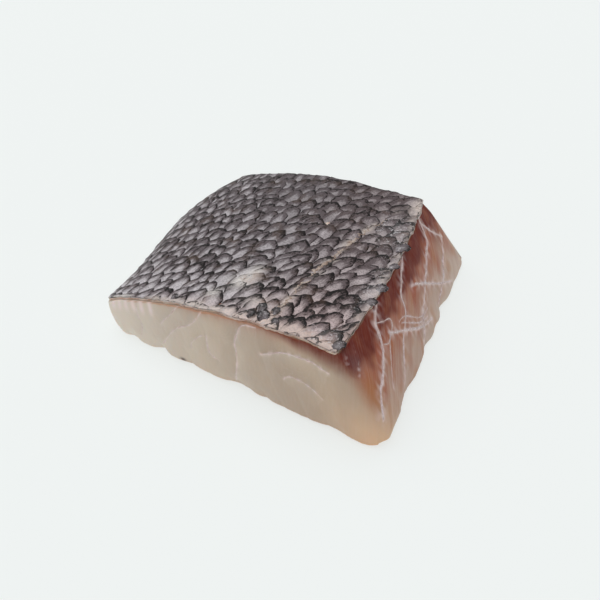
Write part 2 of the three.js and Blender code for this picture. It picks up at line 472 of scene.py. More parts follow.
# Each notch is its share along the face, its depth and its reach along the foot in millimetres.
FRONT_NOTCHES = (
    (0.06, 1.2, 2.5), (0.18, 1.8, 2.5), (0.30, 0.5, 4),
    (0.48, 1.8, 5), (0.58, 0.9, 2), (0.83, 1.0, 6),
)
THICK_NOTCHES = ((0.02, 0.8, 3), (0.28, 1.1, 5), (0.50, 0.9, 4), (0.72, 1.3, 5), (1.0, 0.7, 3))
NOTCH_HEIGHT = 5
FILM_PLACE = (0.04, 0.82)
FILM_REACH = (0.035, 0.10)
FILM_RELIEF = 0.35
SLOW_RELIEF = 0.18
FINE_RELIEF = 0.05
LINE_RELIEF = 0.16
LARGEST_PUSH = 0.3
CORNER_SHARE = 0.05


def bulges(place, borders):
    borders = np.asarray(borders)
    index = np.clip(np.searchsorted(borders, place) - 1, 0, len(borders) - 2)
    share = (place - borders[index]) / (borders[index + 1] - borders[index])
    return np.sqrt(np.clip(4 * share * (1 - share), 0, 1)) - FLAKE_LEVEL


def notch(share_along, length, notches):
    return sum(deep * near((share_along - place) * length, reach) for place, deep, reach in notches)


along_face = np.where(is_side, wall_v, wall_u)
off_corner = smooth(0, CORNER_SHARE, along_face) * smooth(0, CORNER_SHARE, 1 - along_face)
flakes = np.where(is_side, bulges(wall_v, THICK_FLAKES), bulges(wall_u, FRONT_FLAKES))
notches = np.where(is_side, notch(wall_v, LENGTH, THICK_NOTCHES), notch(wall_u, WIDTH, FRONT_NOTCHES))
film = near(wall_v - FILM_PLACE[0], FILM_REACH[0]) * near(wall_w - FILM_PLACE[1], FILM_REACH[1]) * is_thick
film_folds = unevenness(around * 0.45, rise, 1.8, 9)
push = FLAKE_BULGE * flakes * (1 - wall_w) ** 2 + SLOW_RELIEF * unevenness(around, rise, 11, 3)
push = push * off_corner - notches * near(rise, NOTCH_HEIGHT)
push = push + FINE_RELIEF * unevenness(around, rise * 0.5, 3, 4)
push = np.minimum(push + LINE_RELIEF * tissue, LARGEST_PUSH) + FILM_RELIEF * film * film_folds
wall = np.clip(plain_wall + outward * push[..., None], LOWEST, HIGHEST)
print("relief from", round(push.min(), 2), "to", round(push.max(), 2), "mm")

# %% [markdown]
# ## Close the flesh
# A cut fish is solid meat, and light can only scatter inside a closed body. So rings of points run from
# both ends of the wall in to the middle, under the skin and on the floor, and the wall's relief fades
# away over the first ones. The helpers here turn arrays in millimetres into a mesh, and store numbers on
# its vertices, which the materials read by name.

# %% Close the flesh
CAP_RINGS = (0.02, 0.05, 0.1, 0.2, 0.35, 0.55, 0.8)
RELIEF_FADE = 0.03
points = [wall.reshape(-1, 3)]
faces = []


def make_object(name, points, faces=(), edges=()):
    mesh = bpy.data.meshes.new(name)
    mesh.from_pydata((np.asarray(points) * MM).tolist(), edges, faces)
    mesh.shade_smooth()
    obj = bpy.data.objects.new(name, mesh)
    scene.collection.objects.link(obj)
    return obj


def store(obj, fields):
    for name, values in fields.items():
        values = np.asarray(values, np.float32)
        kind, field = ("FLOAT_VECTOR", "vector") if values.ndim == 2 else ("FLOAT", "value")
        obj.data.attributes.new(name, kind, "POINT").data.foreach_set(field, values.ravel())


def coordinates(obj):
    values = np.zeros(len(obj.data.vertices) * 3, np.float32)
    obj.data.vertices.foreach_get("co", values)
    return values.reshape(-1, 3)


def total_length(parts):
    return sum(len(part) for part in parts)


def triangles(obj):
    return sum(len(p.vertices) - 2 for p in obj.data.polygons)


def join_rings(low, high):
    for i in range(loop_size):
        j = (i + 1) % loop_size
        faces.append((low + i, low + j, high + j, high + i))


for level in range(FLESH_LEVELS):
    join_rings(level * loop_size, (level + 1) * loop_size)
for top in (True, False):
    outer = FLESH_LEVELS * loop_size if top else 0
    shift = (wall - plain_wall)[-1 if top else 0]
    for ring in CAP_RINGS:
        ring_u = mix(loop_u, 0.5, ring)
        ring_v = mix(loop_v, 0.5, ring)
        ring_w = 1 - SKIN_DEPTH / height(ring_u, ring_v) if top else 0
        inner = total_length(points)
        points.append(place_in_flesh(ring_u, ring_v, ring_w) + shift * near(ring, RELIEF_FADE))
        join_rings(*((outer, inner) if top else (inner, outer)))
        outer = inner
    middle = total_length(points)
    middle_w = 1 - SKIN_DEPTH / height(0.5, 0.5) if top else 0
    points.append(place_in_flesh(0.5, 0.5, middle_w)[None])
    for i in range(loop_size):
        j = (i + 1) % loop_size
        faces.append((outer + i, outer + j, middle) if top else (outer + j, outer + i, middle))
flesh = make_object("flesh", np.vstack(points), faces)
print("flesh has", triangles(flesh), "triangles")

# %% [markdown]
# ## Where the flesh is red, warm or pale
# Red muscle fills the wedge under the skin at the thick side and shines through the flesh below it. A
# thin warm layer follows the skin along the front cut, the front corner of the thick side glows amber,
# and the thin edge of the block is the palest, with white ticks where flakes meet the skin. Every place
# is told by its distance from an edge. The two cuts' own values melt into each other across the upright
# corner between them. In each formula the first number is the largest share that a colour takes; reaches
# and depths are in millimetres.

# %% Where the flesh is red, warm or pale
RED_EDGE_V = (0, 0.11, 0.25, 0.42, 0.62, 0.72, 0.85, 1.0)
RED_EDGE_DEPTH = (5.5, 8.5, 8, 8.5, 10, 9.5, 6, 11)
TICKS = (0.035, 0.062, 0.092, 0.125, 0.16, 0.20)
SPECK_SHARE = 0.268
SPECK_RISE = 1.848
FIBRE_SLANT = 1.1


def spread(values):
    extra = len(flesh.data.vertices) - values.size
    return np.concatenate([np.clip(values, 0, 1).ravel(), np.zeros(extra)])


from_corner = np.where(is_thick, np.minimum(wall_v, 1 - wall_v) * LENGTH, -(1 - wall_u) * WIDTH)
thick_share = smooth(-5, 4, from_corner)
front_corner = near(from_corner - 4, 5) * (wall_v < 0.5)

red_edge = np.interp(wall_v, RED_EDGE_V, RED_EDGE_DEPTH) + 0.9 * unevenness(around, rise, 9, 5)
blotches = smooth(0.0, 1.4, unevenness(around, rise, 11, 15))
thick_red = smooth(red_edge + 3, red_edge - 2, depth) * (1 - 0.25 * blotches)
low = smooth(0.65, 0.25, wall_w)
far_low = smooth(0.45, 0.95, wall_v) * smooth(0.85, 0.4, wall_w)
far_red = 0.8 * near(wall_v - 0.93, 0.05) * near(wall_w - 0.72, 0.17)
front_red_depth = 0.5 + 6.5 * wall_u**5
front_red = 0.95 * smooth(2.0, 0.3, depth / front_red_depth) * smooth(0.55, 0.85, wall_u)
front_seam = 0.9 * near(depth - SKIN_DEPTH, 0.7) * smooth(0.55, 0.95, wall_u)
warm_rise = wall_w + 0.10 * unevenness(around, rise, 13, 6)
into_thick = np.where(wall_v < 0.5, from_corner, 14) + 26 * (wall_w - 0.35)
thick_warm = (0.45 + 0.55 * smooth(0.15, 0.8, warm_rise)) * smooth(-6, 16, into_thick)
front_warm = 0.6 * near(depth, 1.2 + 3.4 * wall_u) * smooth(0.12, 0.5, wall_u)
line_depth = depth - SKIN_DEPTH - 0.15 * unevenness(around, 0, 5, 8)
amber_line = 0.6 * near(line_depth, 0.35) * smooth(0.05, 0.15, wall_u)
amber_corner = 0.8 * front_corner * near(depth - 15, 7)
amber_foot = 0.35 * near(rise, 1.5) * smooth(0.1, 0.3, wall_u)
ticks = sum(near((wall_u - place) * WIDTH, 1.0) for place in TICKS) * smooth(0.66, 0.84, wall_w)
speck = near((wall_u - SPECK_SHARE) * WIDTH, 1.0) * near(rise - SPECK_RISE, 0.8)
fields = {
    "red": mix(np.maximum(front_red, front_seam), np.maximum(thick_red, far_red), thick_share),
    "warm": mix(front_warm, thick_warm, thick_share),
    "amber": np.maximum(mix(np.maximum(amber_line, amber_foot), 0.35 * blotches, thick_share), amber_corner),
    # the film's share is painted glints: pale specks on the crests of the wet film's folds
    "tissue": tissue + 0.85 * ticks * (wall_v == 0) + 0.7 * film * smooth(0.6, 1.5, film_folds),
    "pale": mix((1 - wall_u) ** 2, 0.6 * low + 0.3 * far_low, thick_share),
    "low_corner": near(from_corner, 16) * (wall_v < 0.5) * near(rise, 14),
    # painted light and painted shade on the two sides of each flake line
    "lit": 0.8 * flake_light,
    "dim": -0.8 * flake_light,
    "speck": speck * (wall_v == 0),
    "wet_and_glints": film,
    "shine": mix(0.2 * (1 - 0.85 * front_red), 0.04, thick_share) + 0.5 * film,
}
store(flesh, {name: spread(values) for name, values in fields.items()})

FIBRE_HEADING = (math.cos(VIEW_AZIMUTH), math.sin(VIEW_AZIMUTH))
FACES_APART = 50.0
across_fibres = np.where(is_thick, wall_v * LENGTH - FIBRE_SLANT * rise, wall[..., :2] @ FIBRE_HEADING)
grain = np.stack([across_fibres, rise, np.where(is_thick, FACES_APART, 0.0)], -1).reshape(-1, 3) * MM
store(flesh, {"grain": np.vstack([grain, coordinates(flesh)[len(grain):]])})
print("flesh stores grain,", ", ".join(fields))

# %% [markdown]
# ## Flesh finish
# Wet fish is translucent: light enters, scatters and comes out nearby, and a thin film of water shines on
# top. Subsurface scattering does the first, a clear coat the second. The colours are mixed from the
# stored numbers, with fine fibres and mottling from noise. The helpers add one node each, in the tree
# that their sockets are part of.

# %% Material helpers
def srgb(red_part, green_part, blue_part):
    parts = [c / 255 for c in (red_part, green_part, blue_part)]
    return tuple(c / 12.92 if c <= 0.04045 else ((c + 0.055) / 1.055) ** 2.4 for c in parts) + (1.0,)


def connect(socket, value):
    if isinstance(value, bpy.types.NodeSocket):
        socket.id_data.links.new(value, socket)
    else:
        socket.default_value = value


def add(tree, kind, links=(), **settings):
    node = tree.nodes.new(kind)
    for name, value in settings.items():
        setattr(node, name, value)
    for name, value in dict(links).items():
        connect(node.inputs[name], value)
    return node.outputs


def join(kind, links, **settings):
    sockets = [value for value in links.values() if isinstance(value, bpy.types.NodeSocket)]
    return add(sockets[0].id_data, kind, links, **settings)


def object_place(tree):
    return add(tree, "ShaderNodeTexCoord")["Object"]


def attribute(tree, name, output="Fac"):
    return add(tree, "ShaderNodeAttribute", attribute_name=name)[output]


def blend(share, first, second, kind="MIX"):
    links = {"Factor": share, 6: first, 7: second}
    return join("ShaderNodeMix", links, data_type="RGBA", blend_type=kind)[2]


def paint_over(colour, layers):
    for share, layer in layers:
        colour = blend(share, colour, layer)
    return colour


def noise(vector, scale, detail=3.0, roughness=0.6, stretch=(1, 1, 1)):
    mapped = join("ShaderNodeMapping", {"Vector": vector, "Scale": stretch})[0]
    links = {"Vector": mapped, "Scale": scale, "Detail": detail, "Roughness": roughness}
    return join("ShaderNodeTexNoise", links)["Fac"]


def ramp(value, low, high, start=0.0, end=1.0):
    links = {"Value": value, "From Min": low, "From Max": high, "To Min": start, "To Max": end}
    return join("ShaderNodeMapRange", links, interpolation_type="SMOOTHSTEP")["Result"]


def calculate(operation, *values):
    return join("ShaderNodeMath", dict(enumerate(values)), operation=operation)["Value"]


def times(first, second):
    return calculate("MULTIPLY", first, second)


def bump(shader, distance, *layers):
    total = 0.0
    for weight, value in layers:
        total = calculate("MULTIPLY_ADD", value, weight, total)
    raised = join("ShaderNodeBump", {"Distance": distance, "Height": total})
    connect(shader.inputs["Normal"], raised["Normal"])


# %% Flesh finish
CREAM = srgb(194, 174, 153)
GREY_CREAM = srgb(180, 160, 142)
PALE_CREAM = srgb(224, 212, 198)
DIM_CREAM = srgb(150, 128, 110)
CORNER_CREAM = srgb(222, 184, 150)
WARM_FLESH = srgb(168, 98, 76)
RED_FLESH = srgb(100, 26, 18)
AMBER_FLESH = srgb(180, 118, 74)
TISSUE = srgb(236, 216, 212)
SPECK_COLOUR = srgb(96, 86, 84)

FLESH_FINISH = {
    "Roughness": 0.45,
    "Subsurface Weight": 0.4,
    "Subsurface Radius": (1.0, 0.6, 0.4),
    "Subsurface Scale": 1.6 * MM,
    "Coat Roughness": 0.12,
}

flesh_paint, tree, shader = material("wet_flesh", FLESH_FINISH)
place = object_place(tree)
grain_place = attribute(tree, "grain", "Vector")
fibres = noise(grain_place, 1100, stretch=(1, 0.1, 1))
streaks = noise(grain_place, 380, 4, stretch=(1, 0.16, 1))
mottle = noise(place, 160)
cloud = noise(place, 45, 2, 0.5)
warm = attribute(tree, "warm")
colour = blend(ramp(cloud, 0.35, 0.65), CREAM, GREY_CREAM)
colour = paint_over(colour, [
    (attribute(tree, "pale"), PALE_CREAM),
    # painted light and painted shade beside the flake lines
    (times(attribute(tree, "lit"), 0.35), PALE_CREAM),
    (times(attribute(tree, "dim"), 0.3), DIM_CREAM),
    (attribute(tree, "low_corner"), CORNER_CREAM),
    (times(warm, ramp(streaks, 0.25, 0.7, 1.15, 0.7)), WARM_FLESH),
    (attribute(tree, "amber"), AMBER_FLESH),
    (times(warm, ramp(streaks, 0.55, 0.75, 0, 0.10)), TISSUE),
    (times(attribute(tree, "red"), ramp(mottle, 0.2, 0.7, 1, 0.8)), RED_FLESH),
    # the tissue share also holds the painted glints on the wet film near the skin's tip
    (attribute(tree, "tissue"), TISSUE),
    (ramp(fibres, 0.35, 0.75, 0.0, 0.05), TISSUE),
    (attribute(tree, "speck"), SPECK_COLOUR),
])
connect(shader.inputs["Base Color"], colour)
connect(shader.inputs["Specular IOR Level"], attribute(tree, "shine"))
connect(shader.inputs["Coat Weight"], attribute(tree, "wet_and_glints"))
bump(shader, 0.2 * MM, (0.3, fibres), (0.4, streaks), (0.8, mottle))
flesh.data.materials.append(flesh_paint)
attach(flesh, "root")
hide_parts("red_muscle", "white_muscle")
print("the flesh's finish has", len(tree.nodes), "nodes")

# %% [markdown]
# ## Strands
# The sheets of tissue stand a little proud of the cut. Geometry Nodes turn a set of paths into round
# strands: each path is sunk by a share of its own thickness, so that only a low ridge shows, and gets a
# tube whose thickness follows a stored number and thins out at both ends. The same tree later lays the
# pale line on the skin.

# %% The tree of the strands
def start_tree(name, inputs):
    tree = bpy.data.node_groups.new(name, "GeometryNodeTree")
    tree.interface.new_socket("Geometry", in_out="OUTPUT", socket_type="NodeSocketGeometry")
    tree.interface.new_socket("Geometry", in_out="INPUT", socket_type="NodeSocketGeometry")
    sockets = {}
    for label, (kind, value) in inputs.items():
        sockets[label] = tree.interface.new_socket(label, in_out="INPUT", socket_type=kind).identifier
    return tree, sockets, tree.nodes.new("NodeGroupInput").outputs


def finish_tree(tree, geometry, paint):
    real = join("GeometryNodeRealizeInstances", {"Geometry": geometry})[0]
    done = join("GeometryNodeSetMaterial", {"Geometry": real, "Material": paint})[0]
    connect(tree.nodes.new("NodeGroupOutput").inputs[0], done)


def grow(name, holder, tree, sockets, values):
    modifier = holder.modifiers.new(name, "NODES")
    modifier.node_group = tree
    for label, value in values.items():
        modifier[sockets[label]] = value
    evaluated = holder.evaluated_get(bpy.context.evaluated_depsgraph_get())
    grown = bpy.data.objects.new(name, bpy.data.meshes.new_from_object(evaluated))
    bpy.data.objects.remove(holder)
    scene.collection.objects.link(grown)
    grown.data.shade_smooth()
    return grown


STRAND_INPUTS = {
    "Sides": ("NodeSocketInt", 8),
    "Sink": ("NodeSocketFloat", 0.55),
    "Finish": ("NodeSocketMaterial", None),
}
strand_tree, strand_sockets, given = start_tree("strands", STRAND_INPUTS)
named = "GeometryNodeInputNamedAttribute"
radius = add(strand_tree, named, {"Name": "thickness"}, data_type="FLOAT")[0]
out = add(strand_tree, named, {"Name": "out"}, data_type="FLOAT_VECTOR")[0]
inwards = times(times(radius, given["Sink"]), -1.0)
offset = join("ShaderNodeVectorMath", {0: out, "Scale": inwards}, operation="SCALE")[0]
sunk = join("GeometryNodeSetPosition", {"Geometry": given["Geometry"], "Offset": offset})[0]
curve = join("GeometryNodeMeshToCurve", {"Mesh": sunk})[0]
ring = join("GeometryNodeCurvePrimitiveCircle", {"Resolution": given["Sides"], "Radius": 1.0})[0]
tube_links = {"Curve": curve, "Profile Curve": ring, "Scale": radius, "Fill Caps": True}
tube = join("GeometryNodeCurveToMesh", tube_links)[0]
finish_tree(strand_tree, tube, given["Finish"])
print("the strands' tree has", len(strand_tree.nodes), "nodes")


def strands(name, paths, sink, paint):
    points, outs, radii, edges = [], [], [], []
    for path, out, radius in paths:
        first = total_length(points)
        edges += [(first + i, first + i + 1) for i in range(len(path) - 1)]
        points.append(path)
        outs.append(out)
        radii.append(radius)
    holder = make_object(name + "_paths", np.vstack(points), edges=edges)
    store(holder, {"out": np.vstack(outs), "thickness": np.concatenate(radii) * MM})
    values = {"Sides": STRAND_INPUTS["Sides"][1], "Sink": sink, "Finish": paint}
    return grow(name, holder, strand_tree, strand_sockets, values)


# %% [markdown]
# ## Membranes
# On a real cut the sheets of tissue are milky and wet, and swell and thin along their way. Each line on
# the wall gets a strand with a seeded swell and a taper at both ends. A finish of two tones that noise
# mixes is enough for something so thin, and it serves the dermis and the pale line too.

# %% Membranes on the cut faces
TAPER = 0.35
SWELL_RUN = 40
MEMBRANE_SINK = 0.7
MEMBRANE_SWELL = {"least": 0.02, "swing": 0.55, "wavelength": 8, "limits": (0.15, 1.8)}
MEMBRANE_FINISH = {
    "Roughness": 0.35,
    "Subsurface Weight": 0.5,
    "Subsurface Radius": (1.0, 0.7, 0.6),
    "Subsurface Scale": 1.0 * MM,
    "Coat Weight": 0.15,
    "Coat Roughness": 0.12,
}


def two_tone(name, scale, step, first, second, relief, finish):
    paint, tree, shader = material(name, finish)
    patchy = noise(object_place(tree), scale)
    connect(shader.inputs["Base Color"], blend(ramp(patchy, *step), first, second))
    bump(shader, relief, (1.0, patchy))
    return paint


def strand_radii(radius, count, seed, least, swing, wavelength, limits):
    share = np.linspace(0, 1, count)
    taper = np.clip(4 * share * (1 - share), least, 1) ** TAPER
    swell = np.clip(1 + swing * unevenness(share * SWELL_RUN, 0, wavelength, seed), *limits)
    return radius * taper * swell


membrane_tones = srgb(226, 208, 208), srgb(196, 164, 158)
membrane_paint = two_tone("membrane", 700, (0.35, 0.65), *membrane_tones, 0.15 * MM, MEMBRANE_FINISH)
paths = []
for face, lines in FACE_LINES.items():
    for number, (half_width, _, points) in enumerate(lines):
        path = smooth_path(points)
        radii = strand_radii(half_width, len(path), 40 + number, **MEMBRANE_SWELL)
        paths.append((on_wall(wall, face, path), on_wall(outward, face, path), radii))
membranes = strands("membranes", paths, MEMBRANE_SINK, membrane_paint)
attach(membranes, "root")
print("membranes have", triangles(membranes), "triangles")

# %% [markdown]
# ## The skin's outline
# The knife and the hand that trimmed the skin left its edge a little uneven, so the skin draws back from
# the block by some tenths of a millimetre, more in one place than in the next. Two functions go between
# even shares of the skin and true shares of the block.

# %% The skin's outline
EDGE_DRAWBACK = {"front": 0.55, "thick": 0.6, "back": 0.5, "thin": 0.4}
EDGE_WANDER = 0.4
LEAST_DRAWBACK = 0.05
PASSES = 4


def drawback(side, place, seed):
    uneven = 0.7 * unevenness(place, 0, 13, seed) + 0.5 * unevenness(place, 0, 4, seed + 1)
    return np.maximum(EDGE_DRAWBACK[side] + EDGE_WANDER * uneven, LEAST_DRAWBACK)


def margins(u, v):
    front = drawback("front", u * WIDTH, 21) / LENGTH
    back = drawback("back", u * WIDTH, 31) / LENGTH
    thin = drawback("thin", v * LENGTH, 41) / WIDTH
    thick = drawback("thick", v * LENGTH, 51) / WIDTH
    return thin, 1 - thin - thick, front, 1 - front - back


def to_even(u, v):
    start_u, span_u, start_v, span_v = margins(u, v)
    return (u - start_u) / span_u, (v - start_v) / span_v


def to_true(even_u, even_v):
    u, v = even_u, even_v
    for _ in range(PASSES):
        start_u, span_u, start_v, span_v = margins(u, v)
        u, v = start_u + even_u * span_u, start_v + even_v * span_v
    return u, v


def normals(u, v):
    small = 1e-3
    along_u = block(u + small, v, 1) - block(u - small, v, 1)
    along_v = block(u, v + small, 1) - block(u, v - small, 1)
    normal = np.cross(along_u, along_v)
    return normal / np.linalg.norm(normal, axis=-1, keepdims=True)


print("the skin's front left corner is at", block(*to_true(0.0, 0.0), 1).round(1), "mm")

# %% [markdown]
# ## Dermis
# Under the scales lies the dermis, a tough pale sheet less than a millimetre thick. Its cut edge shows as
# a white line along the front. It is a closed slab with the block's own curve.

# %% Dermis
DERMIS_UNDERSIDE = 1.35
DERMIS_TOP = 0.5
DERMIS_STEPS = (130, 120, 3)
DERMIS_RIPPLE = 0.10
DERMIS_FINISH = {
    "Roughness": 0.35,
    "Subsurface Weight": 0.3,
    "Subsurface Scale": 1.0 * MM,
    "Coat Weight": 0.3,
    "Coat Roughness": 0.12,
}


def slab(name, steps, place):
    index, faces = {}, []
    for axis in range(3):
        p, q = (axis + 1) % 3, (axis + 2) % 3
        for end, i, j in product((0, steps[axis]), range(steps[p]), range(steps[q])):
            face = []
            for a, b in ((i, j), (i + 1, j), (i + 1, j + 1), (i, j + 1)):
                spot = [end, a, b]
                face.append(index.setdefault(tuple(spot[(n - axis) % 3] for n in range(3)), len(index)))
            faces.append(face if end else face[::-1])
    return make_object(name, place(*(np.array(list(index)) / steps).T), faces)


def place_in_dermis(even_u, even_v, share):
    u, v = to_true(even_u, even_v)
    ripple = DERMIS_RIPPLE * unevenness(u * WIDTH, v * LENGTH, 5, 11)
    under = mix(DERMIS_UNDERSIDE, DERMIS_TOP, share) + ripple
    return block(u, v, 1) - normals(u, v) * under[:, None]


dermis = slab("dermis", DERMIS_STEPS, place_in_dermis)
dermis_tones = srgb(222, 200, 186), srgb(184, 148, 130)
dermis_paint = two_tone("pale_dermis", 320, (0.3, 0.7), *dermis_tones, 0.2 * MM, DERMIS_FINISH)
dermis.data.materials.append(dermis_paint)
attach(dermis, "root")
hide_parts("skin")
print("dermis has", triangles(dermis), "triangles")

# %% [markdown]
# ## One scale
# A scale is a thin tongue: its base is tucked under the two scales in front, and its rounded free edge
# lies on the two behind. Each one also lies over its neighbour on the left, so it's rolled a little about
# its own length. The rows of its grid are arcs, which keeps the free edge free of pinched faces. It is
# repeated hundreds of times, so the grid is coarse and smooth shading does the rest. Two things are
# stored for the paint: how many millimetres away the dark free edge is, which runs further down on the
# left side, and the place on the flat plate.

# %% One scale
SCALE_LENGTH = 12.0
SCALE_WIDTH = 6.8
SCALE_ARC = 4.0
SCALE_LIFT = 0.75
SCALE_CROWN = 0.16
SCALE_ROLL = math.radians(4.5)
SCALE_THICKNESS = 0.22
SCALE_GRID = (6, 6)
BASE_WIDTH = 0.8
TIP_CROWDING = 1.35
TIP_ROUNDNESS = 0.6
FULLEST = 0.62
RIM_START = 0.88
RIM_DROP = 0.6


def scale_shape():
    across, along = SCALE_GRID
    turn, t = np.meshgrid(np.linspace(-1, 1, across + 1), np.linspace(0, 1, along + 1), indexing="ij")
    a = np.sin(turn * np.pi / 2)
    t = 1 - (1 - t) ** TIP_CROWDING
    round_arc = (1 - np.sqrt(1 - 0.9 * a * a)) / (1 - math.sqrt(0.1))
    arc = TIP_ROUNDNESS * round_arc + (1 - TIP_ROUNDNESS) * abs(a) ** 1.2
    x = a * SCALE_WIDTH / 2 * mix(BASE_WIDTH, 1, smooth(0, 0.55, t))
    y = SCALE_LENGTH * t - SCALE_ARC * arc * t**1.5
    swell = np.where(t > FULLEST, 1 - ((t - FULLEST) / (1 - FULLEST)) ** 2, smooth(0.1, FULLEST, t))
    z = SCALE_LIFT * t + SCALE_CROWN * (1 - a * a) ** 0.7 * swell
    z = z - RIM_DROP * SCALE_THICKNESS * smooth(RIM_START, 1.0, t) - x * math.tan(SCALE_ROLL) * t
    top = np.stack([x, y, z], -1).reshape(-1, 3)
    to_tip = SCALE_LENGTH * (1 - t) * mix(1, 0.7, abs(a))
    to_side = (1 - abs(a)) * SCALE_WIDTH / 2 + (0.3 + 0.4 * (a > 0)) * to_tip
    to_edge = np.minimum(to_tip, to_side).ravel()

    def number(i, j):
        return i * (along + 1) + j

    faces = []
    for i in range(across):
        for j in range(along):
            faces.append((number(i, j), number(i + 1, j), number(i + 1, j + 1), number(i, j + 1)))
    rim = [number(i, 0) for i in range(across)] + [number(across, j) for j in range(along)]
    rim += [number(i, along) for i in range(across, 0, -1)] + [number(0, j) for j in range(along, 0, -1)]
    below = top[rim] - (0, 0, SCALE_THICKNESS)
    base, middle = len(top), len(top) + len(rim)
    for i in range(len(rim)):
        j = (i + 1) % len(rim)
        faces.append((rim[j], rim[i], base + i, base + j))
        faces.append((base + j, base + i, middle))
    points = np.vstack([top, below, below.mean(0, keepdims=True)])
    return points, faces, {"to_edge": np.append(to_edge, [*to_edge[rim], 2]), "plate": points * MM}


scale_points, scale_faces, scale_numbers = scale_shape()
scale = make_object("scale", scale_points, scale_faces)
store(scale, scale_numbers)
print("one scale has", triangles(scale), "triangles")

# %% [markdown]
# ## The field of scales
# Scales repeat in staggered rows, which is work for Geometry Nodes. The tree lays out a flat field: a
# grid of points, every second row half a step across, each point nudged and turned a little at random,
# and one scale on each. It stores a random tint for each scale, and ends in real geometry.

# %% The tree of the field
FIELD_INPUTS = {
    "Scale": ("NodeSocketObject", scale),
    "Columns": ("NodeSocketInt", 36),
    "Rows": ("NodeSocketInt", 25),
    "Column Pitch": ("NodeSocketFloat", 5.2 * MM),
    "Row Pitch": ("NodeSocketFloat", 5.9 * MM),
    "Nudge": ("NodeSocketFloat", 0.7 * MM),
    "Heading": ("NodeSocketFloat", math.radians(-10)),
    "Turn": ("NodeSocketFloat", math.radians(14)),
    "Tilt": ("NodeSocketFloat", math.radians(1.2)),
    "Size Spread": ("NodeSocketFloat", 0.12),
    "Seed": ("NodeSocketInt", 7),
    "Finish": ("NodeSocketMaterial", None),
}
field_tree, field_sockets, given = start_tree("scale_field", FIELD_INPUTS)


def vector_of(x, y, z):
    return join("ShaderNodeCombineXYZ", {"X": x, "Y": y, "Z": z})[0]


def random_part(low, high, salt):
    node = field_tree.nodes.new("FunctionNodeRandomValue")
    node.data_type = "FLOAT"
    low_socket, high_socket = [s for s in node.inputs if s.enabled and s.name in ("Min", "Max")]
    connect(low_socket, low)
    connect(high_socket, high)
    connect(node.inputs["Seed"], calculate("ADD", given["Seed"], salt))
    return next(s for s in node.outputs if s.enabled)


def both_ways(size, salt):
    return random_part(calculate("MULTIPLY", size, -1), size, salt)


def near_one(size, salt):
    return random_part(calculate("SUBTRACT", 1, size), calculate("ADD", 1, size), salt)


grid = join("GeometryNodeMeshGrid", {
    "Size X": calculate("MULTIPLY", calculate("SUBTRACT", given["Columns"], 1), given["Column Pitch"]),
    "Size Y": calculate("MULTIPLY", calculate("SUBTRACT", given["Rows"], 1), given["Row Pitch"]),
    "Vertices X": given["Columns"],
    "Vertices Y": given["Rows"],
})["Mesh"]
index = add(field_tree, "GeometryNodeInputIndex")[0]
row = calculate("MODULO", index, given["Rows"])
stagger = calculate("MULTIPLY", calculate("FRACT", calculate("MULTIPLY", row, 0.5)), given["Column Pitch"])
along_row = calculate("ADD", both_ways(given["Nudge"], 1), stagger)
offset = vector_of(along_row, both_ways(given["Nudge"], 2), 0.0)
nudged = join("GeometryNodeSetPosition", {"Geometry": grid, "Offset": offset})[0]
heading = calculate("ADD", given["Heading"], both_ways(given["Turn"], 5))
laid = join("GeometryNodeInstanceOnPoints", {
    "Points": nudged,
    "Instance": join("GeometryNodeObjectInfo", {"Object": given["Scale"]})["Geometry"],
    "Rotation": vector_of(both_ways(given["Tilt"], 3), both_ways(given["Tilt"], 4), heading),
    "Scale": vector_of(*(near_one(given["Size Spread"], salt) for salt in (6, 7, 8))),
})[0]
tint_links = {"Geometry": laid, "Name": "tint", "Value": random_part(0.0, 1.0, 9)}
tinted = join("GeometryNodeStoreNamedAttribute", tint_links, data_type="FLOAT", domain="INSTANCE")[0]
finish_tree(field_tree, tinted, given["Finish"])
print("the field's tree has", len(field_tree.nodes), "nodes")

# %% [markdown]
# ## Scale finish
# Each scale is lilac at its base, brownish grey further out and nearly black along its free edge: partly
# the scale's own pigment and partly painted shade where the plate's far edge turns away. The bands follow
# the stored distance to the edge and are frayed by streaks that run along the plate, stretched out of
# noise on the flat plate's own place. More stored numbers say where the pigment is rubbed thin, where it
# is gone and the bare skin shows, where the dark edges are bolder, where the skin is duller or warmer, and
# where it is wetter and gets painted glints, small white specks that stand in for highlights.

# %% Scale finish
SCALE_PALE = srgb(212, 205, 208)
SCALE_BODY = srgb(114, 104, 107)
SCALE_SHADE = srgb(52, 43, 42)
SCALE_RIM = srgb(14, 11, 11)
SCALE_BROWN = srgb(104, 82, 68)
BARE_SKIN = srgb(228, 221, 214)
RAW_SKIN = srgb(168, 140, 122)
BLUSH = (0.94, 0.79, 0.75, 1.0)
PAINTED_GLINT = srgb(232, 228, 230)

SCALE_FINISH = {"Roughness": 0.5, "Specular IOR Level": 0.18, "Coat Roughness": 0.15}

scale_paint, tree, shader = material("scales", SCALE_FINISH)
place = object_place(tree)
tint = attribute(tree, "tint")
apart = join("ShaderNodeCombineXYZ", {"Z": tint})[0]
plate_links = {0: attribute(tree, "plate", "Vector"), 1: apart}
plate = join("ShaderNodeVectorMath", plate_links, operation="ADD")[0]
streaks = noise(plate, 1500, stretch=(1, 0.22, 1))
ripple = noise(place, 480)
pepper = noise(place, 950, roughness=0.7)
speckle = noise(place, 1500, roughness=0.7)
cloud = noise(place, 130)
dull = attribute(tree, "dull")
wet_and_glints = attribute(tree, "wet_and_glints")

